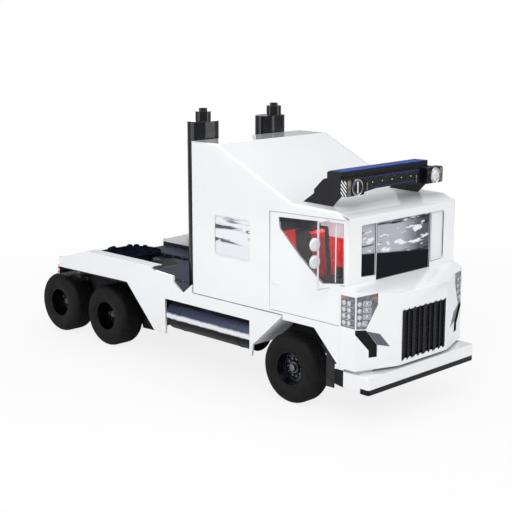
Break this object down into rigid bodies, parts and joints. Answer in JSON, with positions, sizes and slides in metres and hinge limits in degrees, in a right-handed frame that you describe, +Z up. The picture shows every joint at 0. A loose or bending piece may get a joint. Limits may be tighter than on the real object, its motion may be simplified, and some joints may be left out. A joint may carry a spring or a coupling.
{
  "type": "semi truck tractor unit",
  "caption": "Cab-over highway tractor unit with sleeper cab, tilting cab, opening doors, steered front axle, two driven axles and a fifth wheel coupling.",
  "frame": {"origin": "On the ground, at the middle of the vehicle's length and width.", "axes": "+Z up; the vehicle faces -Y; +X is its left side; X is the symmetry axis and Y the longest extent."},
  "size_m": [3.25, 7.922, 4.252],
  "materials": {
    "body_white": "gloss",
    "black_trim": "gloss",
    "frame_black": "satin",
    "axle_grey": "rough",
    "engine_grey": "rough",
    "spring_steel": "satin",
    "tyre": "matt",
    "rim_dark": "polished",
    "tank_polished": "polished",
    "stack_black": "polished",
    "liner_dark": "matt",
    "deck_grey": "satin",
    "fifth_black": "greased",
    "visor_black": "satin",
    "lamp_glass": "clear",
    "tail_red": "gloss",
    "glass": "clear",
    "seat_red": "smooth",
    "dash_black": "matt",
    "seat_black": "smooth",
    "mirror_chrome": "polished",
    "amber_lamp": "clear",
    "floor_dark": "matt"
  },
  "bodies": {
    "chassis": {"frame_rails": "frame_black", "crossmembers": "frame_black", "front_axle_beam": "axle_grey", "drive_axles": "axle_grey", "springs": "spring_steel", "drive_shafts": "axle_grey", "engine_block": "engine_grey", "bumper": "body_white", "bumper_lip": "black_trim", "side_fairings": "body_white", "fuel_tanks": "tank_polished", "arch_liners": "liner_dark", "rear_deck": "deck_grey", "fifth_wheel_base": "frame_black", "exhaust_stacks": "stack_black", "tail_lamps": "tail_red"},
    "cab": {"cab_front": "body_white", "cab_roof": "body_white", "cab_back": "body_white", "cab_floor": "floor_dark", "cab_glass": "glass", "grille": "black_trim", "headlamps": "lamp_glass", "roof_visor": "visor_black", "roof_lamps": "amber_lamp", "seats": "seat_black", "seat_pads": "seat_red", "dashboard": "dash_black", "bunk": "seat_red", "sleeper_lining": "seat_red", "cab_side_left": "body_white", "cab_side_right": "body_white"},
    "door_left": {"door_left": "body_white", "door_glass_left": "glass", "mirror_left": "mirror_chrome"},
    "steer_left": {"knuckle_left": "axle_grey"},
    "wheel_front_left": {"front_rim_left": "rim_dark", "front_tyre_left": "tyre"},
    "wheel_drive_left": {"drive_rim_left": "rim_dark", "drive_tyre_left": "tyre"},
    "wheel_rear_left": {"rear_rim_left": "rim_dark", "rear_tyre_left": "tyre"},
    "door_right": {"door_right": "body_white", "door_glass_right": "glass", "mirror_right": "mirror_chrome"},
    "steer_right": {"knuckle_right": "axle_grey"},
    "wheel_front_right": {"front_rim_right": "rim_dark", "front_tyre_right": "tyre"},
    "wheel_drive_right": {"drive_rim_right": "rim_dark", "drive_tyre_right": "tyre"},
    "wheel_rear_right": {"rear_rim_right": "rim_dark", "rear_tyre_right": "tyre"},
    "tie_rod": {"tie_rod": "axle_grey"},
    "fifth_wheel": {"fifth_wheel": "fifth_black"}
  },
  "joints": [
    {"name": "cab_tilt", "type": "hinge", "parent": "chassis", "child": "cab", "pos_m": [0, -3.89, 0.829], "axis": [1, 0, 0], "range_deg": [0, 55]},
    {"name": "door_left_hinge", "type": "hinge", "parent": "cab", "child": "door_left", "pos_m": [1.24, -3.489, 2.44], "axis": [0, 0, -1], "range_deg": [0, 70]},
    {"name": "door_right_hinge", "type": "hinge", "parent": "cab", "child": "door_right", "pos_m": [-1.24, -3.489, 2.44], "axis": [0, 0, 1], "range_deg": [0, 70]},
    {"name": "steer_left", "type": "hinge", "parent": "chassis", "child": "steer_left", "pos_m": [0.775, -2.361, 0.534], "axis": [0, 0, 1], "range_deg": [-32, 32]},
    {"name": "steer_right", "type": "hinge", "parent": "chassis", "child": "steer_right", "pos_m": [-0.775, -2.361, 0.534], "axis": [0, 0, 1], "range_deg": [-32, 32]},
    {"name": "tie_rod_swing", "type": "hinge", "parent": "steer_left", "child": "tie_rod", "pos_m": [0.775, -2.151, 0.434], "axis": [0, 0, 1], "range_deg": [-32, 32]},
    {"name": "wheel_front_left_spin", "type": "hinge", "parent": "steer_left", "child": "wheel_front_left", "pos_m": [1, -2.361, 0.534], "axis": [1, 0, 0], "continuous": true},
    {"name": "wheel_drive_left_spin", "type": "hinge", "parent": "chassis", "child": "wheel_drive_left", "pos_m": [0.96, 2.057, 0.534], "axis": [1, 0, 0], "continuous": true},
    {"name": "wheel_rear_left_spin", "type": "hinge", "parent": "chassis", "child": "wheel_rear_left", "pos_m": [0.96, 3.427, 0.534], "axis": [1, 0, 0], "continuous": true},
    {"name": "wheel_front_right_spin", "type": "hinge", "parent": "steer_right", "child": "wheel_front_right", "pos_m": [-1, -2.361, 0.534], "axis": [1, 0, 0], "continuous": true},
    {"name": "wheel_drive_right_spin", "type": "hinge", "parent": "chassis", "child": "wheel_drive_right", "pos_m": [-0.96, 2.057, 0.534], "axis": [1, 0, 0], "continuous": true},
    {"name": "wheel_rear_right_spin", "type": "hinge", "parent": "chassis", "child": "wheel_rear_right", "pos_m": [-0.96, 3.427, 0.534], "axis": [1, 0, 0], "continuous": true},
    {"name": "fifth_wheel_tilt", "type": "hinge", "parent": "chassis", "child": "fifth_wheel", "pos_m": [0, 2.699, 1.335], "axis": [1, 0, 0], "range_deg": [-15, 15]}
  ],
  "couplings": [
    {"joint": "steer_right", "follows": "steer_left", "ratio": 1},
    {"joint": "tie_rod_swing", "follows": "steer_left", "ratio": -1}
  ]
}
